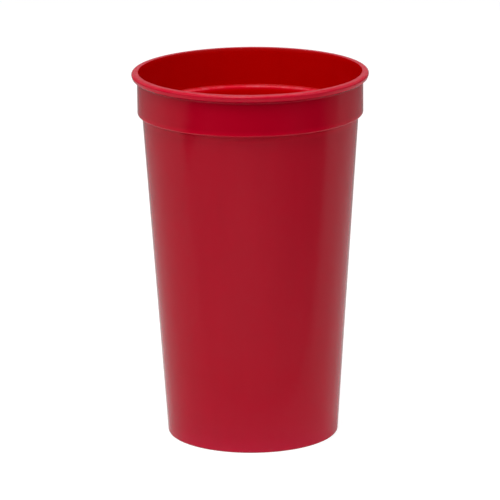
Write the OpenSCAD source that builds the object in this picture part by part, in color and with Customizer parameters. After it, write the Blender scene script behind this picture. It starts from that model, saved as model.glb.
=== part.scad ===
// Stadium cup: a tall tapered drinking cup, injection moulded in one piece.
// Millimetres, +Z up, origin at the centre of the foot that it stands on.

/* [Overall] */
// Height from the foot to the top of the rim
height = 146; // [110:1:190]
// Outside diameter of the rim
rim_d = 92.9; // [84:0.1:110]

/* [Rim] */
// How far the rim stands out from the collar below it
rim_overhang = 2.2; // [1.2:0.1:3]
// Height of the rim's outer face, measured down from the top
rim_h = 2.25; // [1.8:0.05:4]
// Depth below the top at which the rim's outer face starts to lean in
rim_upright_h = 1.15; // [1.05:0.05:1.6]
// How far the rim's outer face leans in from there to its lower edge
rim_draft = 0.35; // [0:0.05:0.4]
// Height of the slope under the rim, down to the collar
rim_slope_h = 1.2; // [0.6:0.1:2.5]
// Rounding of the rim's outer top edge
rim_edge_r = 1; // [0.4:0.1:1.1]
// Rounding of the two corners of the slope under the rim
rim_low_r = 0.35; // [0.1:0.05:0.5]
// How far the inside of the lip opens out before the flat top
lip_w = 0.25; // [0.1:0.05:1]
// Radius of the curve on which the lip opens out
lip_r = 12; // [6:0.5:20]

/* [Collar and stacking step] */
// Depth of the step's underside below the top, which is the stacking pitch
step_depth = 16.65; // [12:0.05:30]
// How far the outside goes in at the step, from the collar to the body
step_w = 1.82; // [1.6:0.02:3]
// Thickness of the step, from its underside to the ledge inside
step_t = 1.7; // [0.8:0.05:2.2]
// Wall thickness of the collar, just above the ledge
collar_wall = 1.15; // [0.9:0.05:1.4]
// How much the collar's inside opens towards the lip, so the core lets go
collar_draft = 0.55; // [0.1:0.05:0.7]
// Rounding of the step's corner with the collar, outside
step_corner_r = 0.7; // [0.3:0.1:1.2]
// Rounding of the step's corner with the body, outside
body_corner_r = 0.3; // [0.1:0.05:0.4]
// Rounding of the ledge's edge, inside
ledge_edge_r = 1.1; // [0.4:0.1:1.3]
// Rounding of the ledge's corner with the collar, inside
ledge_corner_r = 0.2; // [0.1:0.05:0.4]

/* [Body] */
// Outside diameter of the body at the foot, before the foot's edge is rounded
base_d = 67.6; // [55:0.1:72]
// Wall thickness of the body
wall = 0.95; // [0.7:0.05:1.1]

/* [Base] */
// Thickness of the floor
floor_t = 1.3; // [0.9:0.1:2.5]
// Rounding of the floor's corner with the wall, inside
floor_r = 2.5; // [1:0.5:5]
// Height of the hollow under the floor
hollow_h = 1.6; // [0.8:0.1:3]
// Rounding of the hollow's corner with the floor
hollow_r = 0.6; // [0.1:0.1:0.7]
// Width of the ring that the cup stands on, with the rounding of its outer edge
foot_w = 3; // [2.2:0.1:5]
// Rounding of the foot's outer edge
foot_edge_r = 0.7; // [0.3:0.1:1.5]
// Rounding of the foot's inner edge
foot_inner_r = 0.4; // [0.1:0.1:0.6]
// Diameter of the pad under the floor where the plastic enters the mould
gate_d = 5; // [3:0.5:8]
// Height of that pad, less than the hollow's
gate_h = 0.4; // [0.2:0.1:0.6]

/* [Hidden] */

// Straight pieces in each rounded corner, and round the cup
arc_steps = 8;
$fn = 180;

rim_r = rim_d / 2;
collar_r = rim_r - rim_overhang;
body_top_r = collar_r - step_w;
base_r = base_d / 2;
hollow_edge_r = base_r - foot_w;

rim_low_z = height - rim_h;
collar_top_z = rim_low_z - rim_slope_h;
step_z = height - step_depth;
ledge_z = step_z + step_t;
floor_z = hollow_h + floor_t;

// Inside radius of the collar, just above the ledge and below the lip
collar_in_low_r = collar_r - collar_wall;
collar_in_top_r = collar_in_low_r + collar_draft;

// The lip leaves the collar upright and ends at this angle, at the flat top
lip_angle = acos(1 - lip_w / lip_r);
lip_z = height - lip_r * sin(lip_angle);

// Outside radius of the tapered body at height z
function body_r(z) = base_r + (body_top_r - base_r) * z / step_z;

// Points of an arc round a centre, from one angle to another
function arc(centre, r, from, to) = [
    for (i = [0 : arc_steps])
        let (a = from + (to - from) * i / arc_steps)
        centre + r * [cos(a), sin(a)]
];

// The corner b between its neighbours a and c, rounded with radius r
function rounded(a, b, c, r) =
    let (
        u = (a - b) / norm(a - b),
        v = (c - b) / norm(c - b),
        half = acos(u * v) / 2,
        centre = b + (u + v) / norm(u + v) * r / sin(half),
        start = b + u * r / tan(half) - centre,
        from = atan2(start.y, start.x),
        turn = (180 - 2 * half) * sign(u.y * v.x - u.x * v.y)
    )
    arc(centre, r, from, from + turn);

// Corners of [distance from the axis, height, rounding] as the points of an outline
function outline(corners) =
    let (
        n = len(corners),
        at = [for (c = corners) [c[0], c[1]]]
    )
    [
        for (i = [0 : n - 1])
            let (r = corners[i][2])
            each r > 0 ? rounded(at[(i + n - 1) % n], at[i], at[(i + 1) % n], r) : [at[i]]
    ];

// Outer skin, from the foot up to the rim
function outside() = [
    [base_r, 0, foot_edge_r],
    [body_top_r, step_z, body_corner_r],
    [collar_r, step_z, step_corner_r],
    [collar_r, collar_top_z, rim_low_r],
    [rim_r - rim_draft, rim_low_z, rim_low_r],
    [rim_r, height - rim_upright_h, 0],
    [rim_r, height, rim_edge_r]
];

// The lip opens out on a long curve and meets the flat top in a crisp edge
function lip() = [
    for (p = arc([collar_in_top_r + lip_r, lip_z], lip_r, 180 - lip_angle, 180))
        [p.x, p.y, 0]
];

// Inner skin, from the collar down to the floor, with a ledge that follows the step
function inside() = [
    [collar_in_low_r, ledge_z, ledge_corner_r],
    [body_r(ledge_z) - wall, ledge_z, ledge_edge_r],
    [body_r(floor_z) - wall, floor_z, floor_r],
    [0, floor_z, 0]
];

// Underside, from the axis out: gate pad, shallow hollow and the ring of the foot
function underside() = [
    [0, hollow_h - gate_h, 0],
    [gate_d / 2, hollow_h - gate_h, 0],
    [gate_d / 2, hollow_h, 0],
    [hollow_edge_r, hollow_h, hollow_r],
    [hollow_edge_r, 0, foot_inner_r]
];

module cup() {
    color("#a51e2f")
        rotate_extrude()
            polygon(outline(concat(underside(), outside(), lip(), inside())));
}

cup();
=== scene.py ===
import math

import bmesh
import bpy
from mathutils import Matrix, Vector


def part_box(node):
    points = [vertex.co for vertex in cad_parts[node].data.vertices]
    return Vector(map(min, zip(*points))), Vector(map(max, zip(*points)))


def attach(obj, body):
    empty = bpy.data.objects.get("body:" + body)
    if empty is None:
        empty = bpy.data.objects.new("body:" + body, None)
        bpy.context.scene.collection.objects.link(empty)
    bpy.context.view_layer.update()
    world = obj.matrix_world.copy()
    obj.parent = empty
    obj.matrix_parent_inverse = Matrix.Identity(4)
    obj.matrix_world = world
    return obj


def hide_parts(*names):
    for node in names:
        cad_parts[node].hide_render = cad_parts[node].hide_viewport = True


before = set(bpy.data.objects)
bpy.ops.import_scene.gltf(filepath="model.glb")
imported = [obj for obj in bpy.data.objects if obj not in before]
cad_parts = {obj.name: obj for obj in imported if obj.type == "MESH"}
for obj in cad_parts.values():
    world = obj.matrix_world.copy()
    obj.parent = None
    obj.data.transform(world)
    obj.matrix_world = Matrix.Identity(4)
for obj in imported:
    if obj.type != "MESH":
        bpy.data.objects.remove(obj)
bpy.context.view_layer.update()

# The cup: one tall tapered drinking cup of polypropylene, injection moulded in one shot.
# A thick lip, a straight collar and a step that the next cup in the stack sits on stiffen
# the mouth. Nothing is fixed to it: it stands on the ring round its hollow underside.
MM = 0.001
box_low, box_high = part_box("cup")
height = box_high.z / MM
rim_r = box_high.x / MM

# The rim, in millimetres as all the cup's sizes are
rim_overhang = 2.2
rim_h = 2.25
rim_upright_h = 1.15
rim_draft = 0.35
rim_slope_h = 1.2
rim_edge_r = 1.0
rim_low_r = 0.35
lip_w = 0.25
lip_r = 12.0

# The collar, with the step outside and the ledge inside
step_depth = 16.65
step_w = 1.82
step_t = 1.7
collar_wall = 1.15
collar_draft = 0.55
step_corner_r = 0.7
body_corner_r = 0.3
ledge_edge_r = 1.1
ledge_corner_r = 0.2

# The body, the floor, the foot and the pad where the plastic enters the mould
base_r = 33.8
wall = 0.95
floor_t = 1.3
floor_r = 2.5
hollow_h = 1.6
hollow_r = 0.6
foot_w = 3.0
foot_edge_r = 0.7
foot_inner_r = 0.4
gate_r = 2.5
gate_h = 0.4

# The radii and heights that follow from them
collar_r = rim_r - rim_overhang
body_top_r = collar_r - step_w
hollow_edge_r = base_r - foot_w
rim_low_z = height - rim_h
collar_top_z = rim_low_z - rim_slope_h
step_z = height - step_depth
ledge_z = step_z + step_t
floor_z = hollow_h + floor_t
collar_in_low_r = collar_r - collar_wall
collar_in_top_r = collar_in_low_r + collar_draft
lip_angle = math.acos(1 - lip_w / lip_r)
lip_z = height - lip_r * math.sin(lip_angle)

# How finely the curves are cut, and the most that two rings of points are apart
corner_step = math.radians(8)
least_corner_steps = 3
lip_steps = 8
ring_gap = 6.0
sectors = 360


def body_r(z):
    """Outside radius of the tapered body at height z."""
    return base_r + (body_top_r - base_r) * z / step_z


def arc(centre, radius, start, end, steps):
    """Points of an arc from one angle to another, in radians."""
    angles = [start + (end - start) * i / steps for i in range(steps + 1)]
    return [centre + radius * Vector((math.cos(a), math.sin(a))) for a in angles]


def rounded(before, corner, after, radius):
    """The arc that replaces a corner of the outline."""
    u = (before - corner).normalized()
    v = (after - corner).normalized()
    half = u.angle(v) / 2
    centre = corner + (u + v).normalized() * radius / math.sin(half)
    first = corner + u * radius / math.tan(half) - centre
    start = math.atan2(first.y, first.x)
    turn = (math.pi - 2 * half) * (1 if u.y * v.x > u.x * v.y else -1)
    steps = max(least_corner_steps, round(abs(turn) / corner_step))
    return arc(centre, radius, start, start + turn, steps)


def outline(corners):
    """Corners of (radius, height, rounding) as the points of an open outline."""
    at = [Vector(c[:2]) for c in corners]
    points = []
    for i, (_, _, radius) in enumerate(corners):
        if radius:
            points += rounded(at[i - 1], at[i], at[i + 1], radius)
        else:
            points.append(at[i])
    return points


underside = [
    (0, hollow_h - gate_h, 0),
    (gate_r, hollow_h - gate_h, 0),
    (gate_r, hollow_h, 0),
    (hollow_edge_r, hollow_h, hollow_r),
    (hollow_edge_r, 0, foot_inner_r),
]
outside = [
    (base_r, 0, foot_edge_r),
    (body_top_r, step_z, body_corner_r),
    (collar_r, step_z, step_corner_r),
    (collar_r, collar_top_z, rim_low_r),
    (rim_r - rim_draft, rim_low_z, rim_low_r),
    (rim_r, height - rim_upright_h, 0),
    (rim_r, height, rim_edge_r),
]
lip_centre = Vector((collar_in_top_r + lip_r, lip_z))
lip = [
    (p.x, p.y, 0)
    for p in arc(lip_centre, lip_r, math.pi - lip_angle, math.pi, lip_steps)
]
inside = [
    (collar_in_low_r, ledge_z, ledge_corner_r),
    (body_r(ledge_z) - wall, ledge_z, ledge_edge_r),
    (body_r(floor_z) - wall, floor_z, floor_r),
    (0, floor_z, 0),
]
profile = outline(underside + outside + lip + inside)
lip_edge = Vector(lip[0][:2])

# Long straight stretches get rings in between, so that no face is a long sliver.
rings = [profile[0]]
for point in profile[1:]:
    count = max(1, math.ceil((point - rings[-1]).length / ring_gap))
    rings += [rings[-1].lerp(point, (i + 1) / count) for i in range(count)]

mesh = bmesh.new()
loops = []
for point in rings:
    if point.x == 0:
        loops.append([mesh.verts.new((0, 0, point.y * MM))] * sectors)
    else:
        loops.append([
            mesh.verts.new((
                point.x * MM * math.cos(math.tau * i / sectors),
                point.x * MM * math.sin(math.tau * i / sectors),
                point.y * MM,
            ))
            for i in range(sectors)
        ])

# From the lip's edge inwards the core shaped the plastic. These faces get a material of their
# own, whose colours hold painted light.
core_side = False
for lower, upper, point in zip(loops, loops[1:], rings):
    core_side = core_side or point == lip_edge
    for i in range(sectors):
        corners = [lower[i], lower[i - 1], upper[i - 1], upper[i]]
        face = mesh.faces.new(list(dict.fromkeys(corners)))
        face.smooth = True
        face.material_index = int(core_side)
bmesh.ops.recalc_face_normals(mesh, faces=mesh.faces)
crisp = math.radians(30)
for edge in mesh.edges:
    edge.smooth = edge.calc_face_angle(0) < crisp
cup_mesh = bpy.data.meshes.new("moulded_cup")
mesh.to_mesh(cup_mesh)
mesh.free()
cup = bpy.data.objects.new("moulded_cup", cup_mesh)
bpy.context.scene.collection.objects.link(cup)
shading = cup.modifiers.new("face_weighted_normals", "WEIGHTED_NORMAL")
shading.keep_sharp = True
shading.weight = 100


def linear(hex_colour):
    """A hex colour as linear RGBA."""
    values = [int(hex_colour[i:i + 2], 16) / 255 for i in (1, 3, 5)]
    return [v / 12.92 if v < 0.04045 else ((v + 0.055) / 1.055) ** 2.4 for v in values] + [1]


def add(tree, kind, links=(), **settings):
    """Adds a node; links maps its inputs to other nodes' outputs or to values."""
    node = tree.nodes.new(kind)
    for name, value in settings.items():
        setattr(node, name, value)
    for name, value in dict(links).items():
        if isinstance(value, bpy.types.NodeSocket):
            tree.links.new(value, node.inputs[name])
        else:
            node.inputs[name].default_value = value
    return node


# The plastic: polypropylene with a red pigment, as it leaves a polished steel mould. The
# skin is a soft satin with a faint orange peel, and fine lines run the way the mould opens.
# The pigment lies in slow clouds and in streaks along the flow, up the wall from the gate.
cloud_width = 22.0
streak_width = 5.0
patch_width = 3.0
# The peel is about 2 microns deep and the draw lines a tenth of a millimetre wide. They
# are drawn deeper and coarser, to show.
peel_width = 1.4
peel_depth = 0.004
draw_line_width = 0.7
draw_line_depth = 0.0008
# Streaks and draw lines are this share as fine along the cup as they are round it.
drawn_out = 0.03
# Two noises added together mostly stay between these values.
noise_low, noise_high = 0.6, 1.4
# How light the pigment is and how rough the skin is, at those two ends
pigment_low, pigment_high = 0.97, 1.03
rough_low, rough_high = 0.14, 0.19
# The noise at which a patch of wear and painted highlight starts and is full, and how pale
# and dull it then is
patch_start, patch_full = 0.4, 0.65
rub_and_highlight_pale = 0.3
rub_and_highlight_dull = 0.1
rub_and_highlight_colour = "#c9707c"


def moulded_polypropylene(name, colours, rubs_and_highlights):
    """Red moulded polypropylene: colours with painted light, and wear and painted highlight,
    at heights in mm.
    """
    material = bpy.data.materials.new(name)
    material.use_nodes = True
    tree = material.node_tree
    tree.nodes.clear()
    place = add(tree, "ShaderNodeTexCoord").outputs["Object"]
    level = add(tree, "ShaderNodeSeparateXYZ", {0: place}).outputs["Z"]

    part = add(tree, "ShaderNodeMath", {0: level, 1: height * MM}, operation="DIVIDE")
    body = add(tree, "ShaderNodeValToRGB", {0: part.outputs[0]})
    rubs_and_highlights_at = add(tree, "ShaderNodeValToRGB", {0: part.outputs[0]})
    for ramp, values in (
        (body, [(z, linear(hex_colour)) for z, hex_colour in colours]),
        (rubs_and_highlights_at, [(z, [amount] * 3 + [1]) for z, amount in rubs_and_highlights]),
    ):
        stops = ramp.color_ramp.elements
        stops.remove(stops[-1])
        for i, (z, colour) in enumerate(values):
            stop = stops[0] if i == 0 else stops.new(z / height)
            stop.position = z / height
            stop.color = colour

    # Clouds and streaks of pigment, a few hundredths lighter and darker than the rest.
    clouds = add(tree, "ShaderNodeTexNoise", {
        "Vector": place, "Scale": 1 / (cloud_width * MM), "Detail": 2.0,
    })
    along = add(tree, "ShaderNodeMapping", {"Vector": place, "Scale": (1, 1, drawn_out)})
    streaks = add(tree, "ShaderNodeTexNoise", {
        "Vector": along.outputs[0], "Scale": 1 / (streak_width * MM), "Detail": 2.0,
    })
    drawn = add(tree, "ShaderNodeTexNoise", {
        "Vector": along.outputs[0], "Scale": 1 / (draw_line_width * MM), "Detail": 1.0,
    })
    mottle = add(tree, "ShaderNodeMath", {
        0: clouds.outputs["Fac"], 1: streaks.outputs["Fac"],
    }, operation="ADD")
    shade = add(tree, "ShaderNodeMapRange", {
        0: mottle.outputs[0], 1: noise_low, 2: noise_high, 3: pigment_low, 4: pigment_high,
    })
    pigment = add(tree, "ShaderNodeHueSaturation", {
        "Color": body.outputs["Color"], "Value": shade.outputs[0],
    })

    # The foot and the top of the rim are rubbed a little paler, in patches, and the ledge gets
    # a painted highlight in the same patches.
    patches = add(tree, "ShaderNodeTexNoise", {
        "Vector": place, "Scale": 1 / (patch_width * MM), "Detail": 4.0,
    })
    broken = add(tree, "ShaderNodeMapRange", {
        0: patches.outputs["Fac"], 1: patch_start, 2: patch_full,
    })
    rub_and_highlight = add(tree, "ShaderNodeMath", {
        0: rubs_and_highlights_at.outputs["Color"], 1: broken.outputs[0],
    }, operation="MULTIPLY")
    worn_and_highlit = add(tree, "ShaderNodeMath", {
        0: rub_and_highlight.outputs[0], 1: rub_and_highlight_pale,
    }, operation="MULTIPLY")
    skin = add(tree, "ShaderNodeMix", {
        0: worn_and_highlit.outputs[0], 6: pigment.outputs[0], 7: linear(rub_and_highlight_colour),
    }, data_type="RGBA")

    # Gloss varies with the clouds and with the draw lines, and drops in the patches of wear
    # and painted highlight.
    uneven = add(tree, "ShaderNodeMath", {
        0: clouds.outputs["Fac"], 1: drawn.outputs["Fac"],
    }, operation="ADD")
    gloss = add(tree, "ShaderNodeMapRange", {
        0: uneven.outputs[0], 1: noise_low, 2: noise_high, 3: rough_low, 4: rough_high,
    })
    dull = add(tree, "ShaderNodeMath", {
        0: rub_and_highlight.outputs[0], 1: rub_and_highlight_dull, 2: gloss.outputs[0],
    }, operation="MULTIPLY_ADD")

    # The orange peel, over the draw lines.
    peel = add(tree, "ShaderNodeTexNoise", {
        "Vector": place, "Scale": 1 / (peel_width * MM), "Detail": 1.0,
    })
    lines = add(tree, "ShaderNodeBump", {
        "Height": drawn.outputs["Fac"], "Distance": draw_line_depth * MM,
    })
    relief = add(tree, "ShaderNodeBump", {
        "Height": peel.outputs["Fac"], "Distance": peel_depth * MM, "Normal": lines.outputs[0],
    })
    # The index is polypropylene's own. The skin mirrors less than a polished plastic does.
    shader = add(tree, "ShaderNodeBsdfPrincipled", {
        "Base Color": skin.outputs[2],
        "Roughness": dull.outputs[0],
        "Normal": relief.outputs[0],
        "IOR": 1.49,
        "Specular IOR Level": 0.17,
    })
    add(tree, "ShaderNodeOutputMaterial", {"Surface": shader.outputs["BSDF"]})
    return material


# Painted light: the thick foot, step and rim are painted brighter, for light that gets a
# little way into the plastic, and the foot paler, as a painted reflection of the floor close
# by. The collar just under the rim is painted darker, as painted shade. The foot and the top
# of the rim are rubbed by tables and by other cups.
cup_mesh.materials.append(moulded_polypropylene("polypropylene_outside", [
    # painted bounce light and floor reflection, paler and brighter near the ground
    (0.0, "#c21a37"),
    (2.5, "#bc1432"),
    (6.0, "#b50d2b"),
    (12.0, "#b20826"),
    (30.0, "#ae001f"),
    (step_z - 3.0, "#ae001f"),
    # painted glow round the step, which also lightens the shade under it
    (step_z - 1.0, "#bd0023"),
    (step_z - 0.2, "#c30025"),
    (step_z + 0.7, "#c00024"),
    (step_z + 2.2, "#ae001f"),
    (collar_top_z - 1.0, "#ae001f"),
    # painted shade under the rim's overhang
    (collar_top_z + 0.2, "#a8001e"),
    (rim_low_z - 0.6, "#a8001e"),
    # painted glow on the rim's face and top
    (rim_low_z, "#d2002b"),
    (height - 0.6, "#c60028"),
    (height, "#ae0022"),
], [
    (0.0, 0.5),
    (0.9, 0.0),
    (height - 0.9, 0.0),
    (height, 0.25),
]))
# Inside, a purer red is painted in for the light that the walls throw on each other, and the
# wall just under the ledge is painted brighter, as a painted glow and highlight. The next
# cup's step rubs the ledge, and that pale band is also a painted highlight.
cup_mesh.materials.append(moulded_polypropylene("polypropylene_inside_painted_light", [
    # painted light: a purer red for the walls' light on each other
    (0.0, "#b10000"),
    (ledge_z - 7.0, "#b10000"),
    # painted glow and highlight on the wall just under the ledge
    (ledge_z - 2.0, "#c60000"),
    (ledge_z - 1.2, "#e00010"),
    (ledge_z - 0.8, "#e00c2e"),
    (ledge_z - 0.3, "#dc0a2c"),
    (ledge_z - 0.1, "#b80010"),
    (ledge_z + 0.1, "#b10000"),
    (height - 0.6, "#b10000"),
    (height, "#b8000c"),
], [
    (0.0, 0.0),
    (ledge_z - 1.0, 0.0),
    # the ledge's pale band: wear and a painted highlight
    (ledge_z - 0.7, 1.0),
    (ledge_z - 0.3, 1.0),
    (ledge_z - 0.1, 0.0),
]))
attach(cup, "root")
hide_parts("cup")

# The floor: pale paper on a table that ends close in front of the cup, and behind it a wider
# sheet that curves up into a backdrop. What lies close in front mirrors faintly in the walls.
# Its brightness is painted light and shade: both get a painted shade that darkens them to the
# right, and the sheet fades out towards its front edge in painted shade. Each column of the
# sheet has its x, where it starts, where it is fully bright and how bright it starts, in
# metres and as a share of the floor's white. The table's have x and brightness.
sheet_left = (-0.349, -0.115, -0.09, 1.0)
sheet_right = (0.42, -0.045, -0.005, 0.25)
# painted shade: the sheet fades towards its front edge
sheet_columns = [
    (-0.9, -0.683, 0.45, 0.0),
    (-0.45, -0.19, -0.06, 0.0),
    (-0.38, -0.125, -0.1, 0.0),
    (-0.35, -0.115, -0.09, 0.0),
    sheet_left,
    sheet_right,
    (0.9, -0.36, 0.279, 0.0),
]
# painted shade: the table darkens to the right
table_columns = [
    (-0.35, 0.9), (-0.2, 0.8), (-0.05, 1.0), (0.1, 0.8), (0.25, 0.5), (0.42, 0.38),
]
table_front = 0.40

# Behind the cup the sheet darkens in painted shade, and on the upright part it is painted
# whiter than in front, as painted light.
shade_end = 0.55
backdrop_shade = 0.51
backdrop_white = 1.28
white_height = 0.2
sweep_back = 1.75
sweep_bend = 0.5
sweep_top = 0.97
sweep_steps = 16
bend_centre = Vector((sweep_back - sweep_bend, sweep_bend))
sweep_line = [Vector((sweep_back - sweep_bend, 0))]
sweep_line += arc(bend_centre, sweep_bend, -math.pi / 2, 0, sweep_steps)[1:]
sweep_line.append(Vector((sweep_back, sweep_top)))

mesh = bmesh.new()
brightness = mesh.verts.layers.float.new("brightness")


def floor_strip(columns):
    """Faces between columns of floor points, each point (x, y, z, brightness).

    A point's brightness is 1 at the floor's white, and the mesh's is 1 at the backdrop's.
    """
    made = []
    for points in columns:
        made.append([mesh.verts.new(p[:3]) for p in points])
        for vert, point in zip(made[-1], points):
            vert[brightness] = point[3] / backdrop_white
    for left, right in zip(made, made[1:]):
        for i in range(len(left) - 1):
            mesh.faces.new([left[i], right[i], right[i + 1], left[i + 1]]).smooth = True


def sweep_brightness(z):
    """Brightness of the sheet behind the cup, at height z."""
    return backdrop_shade + (backdrop_white - backdrop_shade) * min(z / white_height, 1)


floor_strip([
    [(x, start, 0, first), (x, bright, 0, 1), (x, shade_end, 0, backdrop_shade)]
    + [(x, p.x, p.y, sweep_brightness(p.y)) for p in sweep_line]
    for x, start, bright, first in sheet_columns
])
table = []
for x, shade in table_columns:
    part = (x - sheet_left[0]) / (sheet_right[0] - sheet_left[0])
    back = sheet_left[1] + (sheet_right[1] - sheet_left[1]) * part
    table.append([(x, -table_front, 0, shade), (x, back, 0, shade)])
floor_strip(table)
floor_mesh = bpy.data.meshes.new("paper_floor")
mesh.to_mesh(floor_mesh)
mesh.free()
floor = bpy.data.objects.new("paper_floor", floor_mesh)
bpy.context.scene.collection.objects.link(floor)

# To the camera the paper is a mid grey and a glow that together come out white, so that all
# it shows is the cup's soft shadow.
camera_grey = "#8c8c8c"
camera_glow = 0.84
paper = bpy.data.materials.new("pale_paper")
paper.use_nodes = True
tree = paper.node_tree
tree.nodes.clear()
ray = add(tree, "ShaderNodeLightPath")
shade = add(tree, "ShaderNodeAttribute", attribute_name="brightness")
pale = add(tree, "ShaderNodeMix", {
    0: shade.outputs["Fac"], 6: linear("#000000"), 7: linear("#fcfcfc"),
}, data_type="RGBA")
tint = add(tree, "ShaderNodeMix", {
    0: ray.outputs["Is Camera Ray"], 6: pale.outputs[2], 7: linear(camera_grey),
}, data_type="RGBA")
glow = add(tree, "ShaderNodeMath", {
    0: ray.outputs["Is Camera Ray"], 1: camera_glow,
}, operation="MULTIPLY")
matt = add(tree, "ShaderNodeBsdfDiffuse", {"Color": tint.outputs[2]})
lit = add(tree, "ShaderNodeEmission", {"Strength": glow.outputs[0]})
both = add(tree, "ShaderNodeAddShader", {0: matt.outputs[0], 1: lit.outputs[0]})
add(tree, "ShaderNodeOutputMaterial", {"Surface": both.outputs[0]})
floor_mesh.materials.append(paper)

# The room: white to the camera. To the cup it is dim, and it fades to dark over the last few
# degrees above the table's level. room_fade is the sine of the angle where that starts.
room_dim = 0.28
room_fade = 0.1
world = bpy.data.worlds.new("room")
bpy.context.scene.world = world
world.use_nodes = True
tree = world.node_tree
tree.nodes.clear()
ray = add(tree, "ShaderNodeLightPath")
seen = add(tree, "ShaderNodeBackground", {"Color": linear("#ffffff"), "Strength": 1.0})
way = add(tree, "ShaderNodeSeparateXYZ", {
    0: add(tree, "ShaderNodeTexCoord").outputs["Generated"],
})
upper = add(tree, "ShaderNodeMapRange", {
    0: way.outputs["Z"], 1: 0.0, 2: room_fade, 3: 0.0, 4: room_dim,
})
felt = add(tree, "ShaderNodeBackground", {
    "Color": linear("#ffffff"), "Strength": upper.outputs[0],
})
choice = add(tree, "ShaderNodeMixShader", {
    0: ray.outputs["Is Camera Ray"], 1: felt.outputs[0], 2: seen.outputs[0],
})
add(tree, "ShaderNodeOutputWorld", {"Surface": choice.outputs[0]})

# The lights: most of it comes from overhead and from a bright strip high in front, on the
# left, with a weaker panel below it. Low softboxes on each side and behind light the walls.
rim_middle = Vector((0, 0, 0.12))
lamp_distance = 0.9


def softbox(name, azimuth, elevation, width, length, radiance):
    """A rectangular area light that faces the cup's rim, the same radiance all over.

    Azimuth is 0 in front of the cup and positive to its right, both angles in degrees.
    Width and length are in metres, and radiance is in watts per square metre and steradian.
    """
    azimuth, elevation = math.radians(azimuth), math.radians(elevation)
    towards = Vector((
        math.cos(elevation) * math.sin(azimuth),
        -math.cos(elevation) * math.cos(azimuth),
        math.sin(elevation),
    ))
    data = bpy.data.lights.new(name, "AREA")
    data.shape = "RECTANGLE"
    data.size = width
    data.size_y = length
    data.energy = radiance * math.pi * width * length
    lamp = bpy.data.objects.new(name, data)
    bpy.context.scene.collection.objects.link(lamp)
    lamp.location = rim_middle + lamp_distance * towards
    lamp.rotation_euler = towards.to_track_quat("Z", "Y").to_euler()
    lamp.visible_camera = False


softbox("front_left_strip", -24, 66, 0.357, 0.189, 9.6)
softbox("front_left_panel", -24, 47, 0.547, 0.416, 3.2)
softbox("front_right_strip", 24, 66, 0.357, 0.189, 2.5)
softbox("overhead_strip", -2, 77.5, 0.8, 0.173, 1.36)
softbox("overhead_panel", -2, 108, 0.8, 0.383, 4.4)
softbox("left_low_softbox", -62, 27.5, 0.581, 0.399, 1.7)
softbox("left_high_softbox", -66, 53, 0.394, 0.35, 1.0)
softbox("right_low_softbox", 62, 27.5, 0.581, 0.399, 2.3)
softbox("left_back_softbox", -125, 30, 0.6, 0.6, 0.35)
softbox("right_back_softbox", 115, 30, 0.6, 0.6, 0.45)

# The camera: a long lens about a metre and a half away. It looks down on the middle of the
# cup at some fifteen degrees and leans by half a degree, as in the photograph.
elevation = math.radians(14.73)
roll = math.radians(-0.502)
distance = 1.582
aim = Vector((-0.62, 0, 73.52)) * MM
camera_data = bpy.data.cameras.new("camera")
camera_data.sensor_width = 36
camera_data.lens = 288
camera = bpy.data.objects.new("camera", camera_data)
bpy.context.scene.collection.objects.link(camera)
camera.location = aim + distance * Vector((0, -math.cos(elevation), math.sin(elevation)))
camera.rotation_euler = (math.pi / 2 - elevation, 0, 0)
camera.rotation_euler.rotate_axis("Z", roll)
bpy.context.scene.camera = camera
bpy.context.scene.view_settings.view_transform = "Standard"
